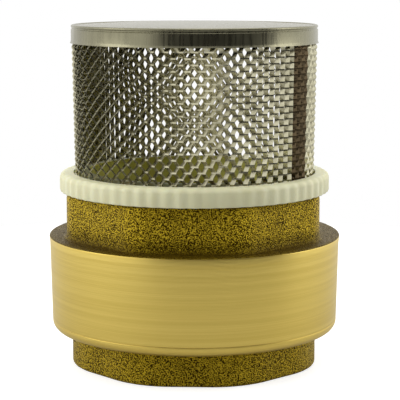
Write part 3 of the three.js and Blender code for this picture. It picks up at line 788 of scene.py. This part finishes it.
class FOOTVALVE_OT_guide(Operator):
    """Makes the guide spider with its rim, arms and hub, and the bush in its hub"""

    bl_idname = "foot_valve.guide"
    bl_label = "Guide"

    def execute(self, context):
        body, inside = context.scene.valve_body, context.scene.inside
        top, foot = SPIDER_HIGH.z, SPIDER_HIGH.z - inside.spider_thickness
        outer, hub = SPIDER_HIGH.x, inside.hub_radius
        inner, bore = outer - inside.spider_rim, inside.bush_radius + inside.running_gap
        rim_points = [(inner, foot), (outer, foot), (outer, top), (inner, top)]
        bm = loft(softened(rim_points, inside.cast_edge), body.segments)
        low = SPIDER_LOW.z
        hub_points = [(bore, low), (hub, low), (hub, top), (bore, top)]
        hub_mesh = bpy.data.meshes.new("hub")
        hub_shape = loft(softened(hub_points, inside.cast_edge), body.segments)
        hub_shape.to_mesh(hub_mesh)
        hub_shape.free()
        bm.from_mesh(hub_mesh)
        bpy.data.meshes.remove(hub_mesh)
        length = inner - hub + 2 * inside.arm_overlap
        for number in range(inside.arms):
            turn = Matrix.Rotation(inside.arm_turn + TURN * number / inside.arms, 4, "Z")
            middle = Matrix.Translation(((inner + hub) / 2, 0, (top + foot) / 2))
            shape = Matrix.Diagonal((length, inside.arm_width, top - foot - inside.running_gap, 1))
            verts = bmesh.ops.create_cube(bm, size=1, matrix=turn @ middle @ shape)["verts"]
            edges = list({edge for vert in verts for edge in vert.link_edges})
            bmesh.ops.bevel(
                bm, geom=edges, offset=inside.cast_edge, affect="EDGES", segments=3, profile=0.5, material=-1
            )
        brass = [finish("cast_brass")]
        make_piece(bm, "guide_spider_cast", brass, "valve_body", "guide_spider")
        flange = BUSH_HIGH.z - inside.bush_flange
        points = [
            *[(inside.bush_radius, BUSH_LOW.z), (inside.bush_radius, flange)],
            *[(BUSH_HIGH.x, flange), (BUSH_HIGH.x, BUSH_HIGH.z)],
            *[(inside.bush_bore, BUSH_HIGH.z), (inside.bush_bore, BUSH_LOW.z)],
        ]
        bush = loft(softened(points, inside.edge), inside.segments)
        make_piece(bush, "guide_bush_turned", [finish("acetal")], "valve_body", "guide_bush")
        return {"FINISHED"}


def spring_rings(inside):
    """Rings of points along a coil spring whose end turns lie close."""
    radius = inside.wire / 2
    mean = SPRING_HIGH.x - radius
    low, high = SPRING_LOW.z + radius, SPRING_HIGH.z - radius
    turns = inside.active_turns + 2 * inside.end_turns
    closed = inside.end_turns * inside.wire * CLOSED_PITCH
    steps = round(turns * inside.turn_steps)
    rings = []
    for step in range(steps + 1):
        turned = step / inside.turn_steps
        middle = max(0.0, min(1.0, (turned - inside.end_turns) / inside.active_turns))
        eased = middle + (middle ** 2 * (3 - 2 * middle) - middle) * COIL_EASE
        ends = turned - middle * inside.active_turns
        height = low + closed * ends / inside.end_turns + (high - low - 2 * closed) * eased
        out = Matrix.Rotation(TURN * turned, 4, "Z") @ Vector((1, 0, 0))
        ring = []
        for number in range(inside.wire_sides):
            angle = TURN * number / inside.wire_sides
            along = mean + radius * math.cos(angle)
            ring.append(out * along + Vector((0, 0, height + radius * math.sin(angle))))
        rings.append(ring)
    return rings


class FOOTVALVE_OT_spring(Operator):
    """Makes the coil spring under the shutter"""

    bl_idname = "foot_valve.spring"
    bl_label = "Spring"

    def execute(self, context):
        inside = context.scene.inside
        bm = bmesh.new()
        swept(bm, spring_rings(inside))
        bmesh.ops.recalc_face_normals(bm, faces=bm.faces[:])
        steel = [finish("bright_stainless")]
        piece = make_piece(bm, "return_spring_coiled", steel, "valve_body", "return_spring")
        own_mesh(piece)
        return {"FINISHED"}


def shutter_points(inside):
    """The profile of the disc and its stem, from the stem's foot to the floor of the tapped hole."""
    stem, groove = inside.stem_radius, inside.stem_radius - inside.clip_groove
    foot, low = DISC_LOW.z, SEAL_LOW.z - inside.running_gap - inside.disc_thickness
    clip_low, clip_high = CLIP_LOW.z - inside.running_gap, CLIP_HIGH.z + inside.running_gap
    seat, top, rim = low + inside.recess, low + inside.disc_thickness, DISC_HIGH.x
    hole = DISC_HIGH.z - inside.hole_depth
    return [
        *[(0, foot), (stem - inside.stem_chamfer, foot), (stem, foot + inside.stem_chamfer)],
        *[(stem, clip_low), (groove, clip_low), (groove, clip_high), (stem, clip_high)],
        *[(stem, seat), (inside.recess_radius, seat), (inside.recess_radius, low), (rim, low), (rim, top)],
        *[(inside.boss_radius, top), (inside.boss_radius, DISC_HIGH.z), (inside.hole_radius, DISC_HIGH.z)],
        *[(inside.hole_radius, hole), (0, hole)],
    ]


def hexagon(reach):
    """The section of a hexagon whose corners lie at a radius."""
    third = math.pi / 3

    def section(angle, height):
        return reach * math.cos(third / 2) / math.cos(angle % third - third / 2)

    return section


def clip_rings(inside):
    """Rings of points round the open clip."""
    inner, outer = inside.stem_radius - inside.clip_groove + inside.running_gap, inside.clip_radius
    low, high, edge = CLIP_LOW.z, CLIP_HIGH.z, inside.edge / 2
    section = [
        *[(inner, low + edge), (inner + edge, low), (outer - edge, low), (outer, low + edge)],
        *[(outer, high - edge), (outer - edge, high), (inner + edge, high), (inner, high - edge)],
    ]
    first, last = inside.clip_opening / 2, TURN - inside.clip_opening / 2
    angles = [first + (last - first) * step / inside.segments for step in range(inside.segments + 1)]
    return [[(r * math.cos(angle), r * math.sin(angle), z) for r, z in section] for angle in angles]


class FOOTVALVE_OT_shutter(Operator):
    """Makes the shutter's disc and stem, the seal's plate and screw, and the clip on the stem"""

    bl_idname = "foot_valve.shutter"
    bl_label = "Shutter"

    def execute(self, context):
        body, inside = context.scene.valve_body, context.scene.inside
        disc = loft(softened(shutter_points(inside), inside.edge), body.segments)
        brass, steel = [finish("cast_brass")], [finish("bright_stainless")]
        make_piece(disc, "shutter_disc_turned", brass, "shutter", "shutter_disc")
        low, high, hole = PLATE_LOW.z, PLATE_HIGH.z, inside.hole_radius
        points = [(hole, low), (PLATE_HIGH.x, low), (PLATE_HIGH.x, high), (hole, high)]
        plate = loft(softened(points, 2 * inside.edge), body.segments)
        make_piece(plate, "seal_plate_pressed", steel, "shutter", "seal_plate")
        head, top, tip = SCREW_HIGH.z - inside.head_height, SCREW_HIGH.z, SCREW_LOW.z
        outside = [(0, tip), (inside.screw_radius, tip), (inside.screw_radius, head), (SCREW_HIGH.x, head)]
        outside += [(SCREW_HIGH.x, top), (inside.key_radius + inside.edge, top)]
        stations = softened(outside, inside.edge)
        key = hexagon(inside.key_radius)
        stations += [(key, top - inside.edge), (key, top - inside.key_depth), (0, top - inside.key_depth)]
        screw = loft(stations, inside.segments)
        make_piece(screw, "plate_screw_socketed", steel, "shutter", "plate_screw")
        clip = bmesh.new()
        swept(clip, clip_rings(inside))
        bmesh.ops.recalc_face_normals(clip, faces=clip.faces[:])
        make_piece(clip, "stem_clip_open", steel, "shutter", "stem_clip")
        return {"FINISHED"}


def ribbed(strainer, radius):
    """A round section with soft ribs."""

    def section(angle, height):
        return radius - strainer.rib_depth * (1 - math.cos(strainer.ribs * angle)) / 2

    return section


def ring_stations(strainer, body):
    """Up the ring's thread and flange, round its mesh groove and collar, and down its bore."""
    tip, foot, top = RING_LOW.z, INLET_HIGH.z + strainer.ring_gap, strainer.ring_top
    bore = body.thread_radius - body.thread_depth - strainer.thread_play - strainer.ring_wall
    outer = ribbed(strainer, RING_HIGH.x)
    low_round, high_round = strainer.ring_edge, strainer.ring_round
    floor = foot + strainer.groove_floor
    collar = strainer.groove_inner - strainer.ring_wall
    start = (bore, tip)
    return [
        start,
        *screw_stations(body, tip, foot, INLET_HIGH.z, strainer.thread_play),
        *arc(raised(outer, -low_round), foot + low_round, low_round, -90, 0, 3),
        *arc(raised(outer, -high_round), top - high_round, high_round, 0, 90, 5),
        *[(strainer.groove_outer, level) for level in (top, floor)],
        *[(strainer.groove_inner, level) for level in (floor, top + strainer.collar_rise)],
        (collar, top + strainer.collar_rise),
        (collar, top),
        (bore, foot),
        start,
    ]


class FOOTVALVE_OT_ring(Operator):
    """Makes the moulded ring with its thread, ribs and mesh groove"""

    bl_idname = "foot_valve.ring"
    bl_label = "Strainer ring"

    def execute(self, context):
        body, strainer = context.scene.valve_body, context.scene.strainer
        bm = loft(ring_stations(strainer, body), strainer.ribs * strainer.rib_steps)
        inside = strainer.groove_inner + MERGE

        # Inward faces inside the groove take the painted brass reflection
        def choose(middle, normal):
            inward = middle.x * normal.x + middle.y * normal.y < 0
            return int(inward and math.hypot(middle.x, middle.y) < inside)

        finish_by(bm, choose)
        finishes = [finish("nylon"), finish("nylon_inside")]
        make_piece(bm, "strainer_ring_moulded", finishes, "ring", "strainer_ring")
        return {"FINISHED"}


def strand_rings(strainer, side, lift, shift):
    """Rings of points up one strand; side is 1 or -1, for strands that swing opposite ways.

    The strand stands out of the sheet's plane except where it is tucked in at its ends. Lift moves
    it outwards, and shift is the share of a cell by which it is moved up.
    """
    step = TURN / (2 * strainer.cells)
    low, high = MESH_LOW.z, MESH_HIGH.z
    bond, cell = strainer.bond / 2, strainer.cell_height
    levels = [(low, None), (high, None)]
    for number in range(-1, math.ceil((high - low) / cell) + 1):
        for share, swing in ((bond, 1), (0.5 - bond, -1), (0.5 + bond, -1), (1 - bond, 1)):
            level = low + cell * (number + share + shift)
            if low < level < high:
                levels.append((level, swing))
    levels.sort(key=lambda pair: pair[0])
    levels[0], levels[-1] = (low, levels[1][1]), (high, levels[-2][1])
    rings = []
    for level, swing in levels:
        from_end = min(level - strainer.ring_top, LID_LOW.z - strainer.tuck_length / 2 - level)
        standing = max(0.0, min(1.0, from_end / strainer.tuck_length + 1))
        tilt = strainer.strand_tilt * standing
        rise = max(0.0, min(1.0, (level - strainer.ring_top) / (LID_LOW.z - strainer.ring_top)))
        flare = (strainer.top_radius - strainer.foot_radius) * rise
        out = strainer.foot_radius + flare - strainer.strand_width * math.sin(tilt) - strainer.sheet / 2
        out = min(out, strainer.tuck_radius) + lift if standing < 1 else out + lift
        half, thick = strainer.strand_width / 2, strainer.sheet / 2
        swing *= side
        across = swing * (step * out / 2 - half * math.cos(tilt))
        middle = out - swing * half * math.sin(tilt)
        ring = []
        for wide, deep in ((-half, -thick), (half, -thick), (half, thick), (-half, thick)):
            radius = middle + wide * math.sin(tilt) + deep * math.cos(tilt)
            angle = (across + wide * math.cos(tilt) - deep * math.sin(tilt)) / out + (0 if side > 0 else step)
            ring.append(Vector((radius * math.cos(angle), radius * math.sin(angle), level)))
        rings.append(ring)
    return rings


def add_strands(bm, strainer, start, cells, lift=0.0, shift=0.0, finish_index=0):
    """Adds pairs of strands round the tube, from a start angle."""
    before = set(bm.faces)
    turn = Matrix.Rotation(start, 3, "Z")
    for side in (1, -1):
        rings = strand_rings(strainer, side, lift, shift)
        swept(bm, [[turn @ point for point in ring] for ring in rings])
    faces = [face for face in bm.faces if face not in before]
    for face in faces:
        face.material_index = finish_index
    edges = {edge for face in faces for edge in face.edges}
    verts = {vert for face in faces for vert in face.verts}
    repeated(bm, [*faces, *edges, *verts], cells, TURN / strainer.cells)


class FOOTVALVE_OT_mesh(Operator):
    """Makes the tube of expanded steel sheet, with the lap where its ends meet"""

    bl_idname = "foot_valve.mesh"
    bl_label = "Strainer mesh"

    def execute(self, context):
        strainer = context.scene.strainer
        bm = bmesh.new()
        start, lapped = strainer.lap_start, strainer.lap_cells
        clear = start + lapped * TURN / strainer.cells
        add_strands(bm, strainer, clear, strainer.cells - lapped)
        # Both layers of the lap take the painted shade finish
        add_strands(bm, strainer, start, lapped, finish_index=1)
        add_strands(bm, strainer, start, lapped, -strainer.lap_lift, 0.5, 1)
        bmesh.ops.recalc_face_normals(bm, faces=bm.faces[:])
        finishes = [finish("mesh_stainless"), finish("mesh_tinted")]
        make_piece(bm, "strainer_mesh_expanded", finishes, "basket", "strainer_mesh")
        return {"FINISHED"}


def lid_stations(strainer):
    """Up the lid's skirt, round its rolled edge, over its dome and back along its underside."""
    foot, top = LID_LOW.z, LID_HIGH.z - strainer.lid_dome
    outer, wall, bead = LID_HIGH.x - strainer.lid_lip, strainer.lid_wall, strainer.lid_bead
    lip, neck, moat = strainer.lid_lip, 0.5 * bead, strainer.lid_moat
    plate = top - 0.6 * bead
    return [
        (0, top + strainer.lid_dome),
        *[(part * outer, top + rise * strainer.lid_dome) for part, rise in DOME],
        (outer - 2 * moat, plate + 0.3 * bead),
        (outer - moat, plate),
        *reversed(arc(outer - bead, top - bead, bead, -60, 150, 10)),
        (outer - neck, top - 2 * bead - 0.5 * neck),
        (outer - neck, top - 2 * bead - neck),
        (outer, top - 2 * bead - 2 * neck),
        (outer, foot + 3.2 * lip),
        (outer + 0.35 * lip, foot + 1.5 * lip),
        (outer + 0.85 * lip, foot + 0.6 * lip),
        (outer + lip, foot),
        (outer - wall + lip, foot),
        (outer - wall, foot + 2 * lip),
        (outer - wall, plate - 2 * wall),
        (outer - 2 * wall, plate - wall),
        (DOME[-1][0] * outer, top + DOME[-1][1] * strainer.lid_dome - wall),
        (0, LID_HIGH.z - wall),
    ]


class FOOTVALVE_OT_lid(Operator):
    """Makes the pressed lid of the strainer"""

    bl_idname = "foot_valve.lid"
    bl_label = "Strainer lid"

    def execute(self, context):
        bm = loft(lid_stations(context.scene.strainer), context.scene.valve_body.segments)
        steel = [finish("lid_stainless")]
        make_piece(bm, "strainer_lid_pressed", steel, "basket", "strainer_lid")
        return {"FINISHED"}


# Stage


def lamp(name, place, aim, across, power):
    """A soft square lamp that points at a spot."""
    data = bpy.data.lights.new(name, "AREA")
    data.size = across
    data.energy = power
    made = bpy.data.objects.new(name, data)
    made.location = place
    made.rotation_euler = (Vector(aim) - Vector(place)).to_track_quat("-Z", "Y").to_euler()
    bpy.context.scene.collection.objects.link(made)


def studio_world(studio):
    """A white studio with one dim side, where the camera stands; the camera itself sees plain white."""
    world = bpy.data.worlds.new("studio")
    world.use_nodes = True
    world.node_tree.nodes.clear()
    place = node(world, "ShaderNodeTexCoord").outputs["Generated"]
    flat = node(world, "ShaderNodeVectorMath", operation="MULTIPLY")
    flat.inputs[1].default_value = (1, 1, 0)
    join(world, place, flat.inputs[0])
    level = node(world, "ShaderNodeVectorMath", operation="NORMALIZE")
    join(world, flat.outputs["Vector"], level.inputs[0])
    facing = node(world, "ShaderNodeVectorMath", operation="DOT_PRODUCT")
    facing.inputs[1].default_value = (math.sin(studio.dim_turn), -math.cos(studio.dim_turn), 0)
    join(world, level.outputs["Vector"], facing.inputs[0])
    edge, blur = math.cos(studio.dim_half), studio.dim_blur
    side = spread(world, facing.outputs["Value"], edge - blur, edge + blur, 0, 1, "SMOOTHSTEP")
    up = split_axes(world, place)["Z"]
    height = spread(world, up, studio.dim_top_high, studio.dim_top_low, 0, 1, "SMOOTHSTEP")
    light = spread(world, sums(world, "MULTIPLY", side, height), 0, 1, studio.white, studio.dim)
    around = node(world, "ShaderNodeBackground", Color=(1, 1, 1, 1))
    join(world, light, around.inputs["Strength"])
    seen = node(world, "ShaderNodeBackground", Color=(1, 1, 1, 1))
    mix = node(world, "ShaderNodeMixShader")
    path = node(world, "ShaderNodeLightPath")
    join(world, path.outputs["Is Camera Ray"], mix.inputs["Fac"])
    join(world, around.outputs["Background"], mix.inputs[1])
    join(world, seen.outputs["Background"], mix.inputs[2])
    output = node(world, "ShaderNodeOutputWorld")
    join(world, mix.outputs["Shader"], output.inputs["Surface"])
    return world


class FOOTVALVE_OT_stage(Operator):
    """Makes the floor, the lights and the camera"""

    bl_idname = "foot_valve.stage"
    bl_label = "Stage"

    def execute(self, context):
        scene, studio = context.scene, context.scene.studio
        bm = bmesh.new()
        bmesh.ops.create_circle(bm, cap_ends=True, radius=studio.floor_radius, segments=128)
        mesh = bpy.data.meshes.new("floor")
        bm.to_mesh(mesh)
        bm.free()
        material, shader = start_material("floor_paint", tuple(studio.pale), 0.0, 0.6)
        shader.inputs["Emission Color"].default_value = (1, 1, 1, 1)
        path = node(material, "ShaderNodeLightPath")
        glow = sums(material, "MULTIPLY", path.outputs["Is Camera Ray"], studio.floor_glow)
        join(material, glow, shader.inputs["Emission Strength"])
        mesh.materials.append(material)
        floor = bpy.data.objects.new("floor", mesh)
        scene.collection.objects.link(floor)
        scene.world = studio_world(studio)
        middle = (0, 0, LID_HIGH.z / 2)
        lamp("lamp_above", (0.1, 0.15, 1.1), middle, 0.7, studio.above_power)
        lamp("lamp_left", (-0.9, -0.15, 0.45), middle, 0.5, studio.side_power)
        lamp("lamp_right", (0.9, 0.05, 0.4), middle, 0.5, studio.side_power)
        data = bpy.data.cameras.new("camera")
        data.lens = studio.lens
        data.shift_x = studio.shift
        camera = bpy.data.objects.new("camera", data)
        camera.location = (0, -studio.distance, studio.height)
        camera.rotation_euler = (math.pi / 2 - studio.tilt, 0, 0)
        scene.collection.objects.link(camera)
        scene.camera = camera
        scene.view_settings.view_transform = "Standard"
        return {"FINISHED"}


STEPS = (
    FOOTVALVE_OT_inlet_half,
    FOOTVALVE_OT_outlet_half,
    FOOTVALVE_OT_seals,
    FOOTVALVE_OT_guide,
    FOOTVALVE_OT_spring,
    FOOTVALVE_OT_shutter,
    FOOTVALVE_OT_ring,
    FOOTVALVE_OT_mesh,
    FOOTVALVE_OT_lid,
    FOOTVALVE_OT_stage,
)


class FOOTVALVE_PT_panel(Panel):
    """The steps and the settings of the foot valve"""

    bl_idname = "FOOTVALVE_PT_panel"
    bl_label = "Foot valve"
    bl_space_type = "VIEW_3D"
    bl_region_type = "UI"
    bl_category = "Valve"

    def draw(self, context):
        for step in STEPS:
            self.layout.operator(step.bl_idname)
        for group, settings in GROUPS:
            box = self.layout.box()
            box.label(text=group.replace("_", " ").capitalize())
            for field in settings.__annotations__:
                box.prop(getattr(context.scene, group), field)


CLASSES = (*(settings for group, settings in GROUPS), *STEPS, FOOTVALVE_PT_panel)


def register():
    for made in CLASSES:
        bpy.utils.register_class(made)
    for group, settings in GROUPS:
        setattr(bpy.types.Scene, group, PointerProperty(type=settings))


def unregister():
    for group, settings in GROUPS:
        delattr(bpy.types.Scene, group)
    for made in reversed(CLASSES):
        bpy.utils.unregister_class(made)


def main():
    register()
    bpy.ops.foot_valve.inlet_half()
    bpy.ops.foot_valve.outlet_half()
    bpy.ops.foot_valve.seals()
    bpy.ops.foot_valve.guide()
    bpy.ops.foot_valve.spring()
    bpy.ops.foot_valve.shutter()
    bpy.ops.foot_valve.ring()
    bpy.ops.foot_valve.mesh()
    bpy.ops.foot_valve.lid()
    bpy.ops.foot_valve.stage()


if __name__ == "__main__":
    main()
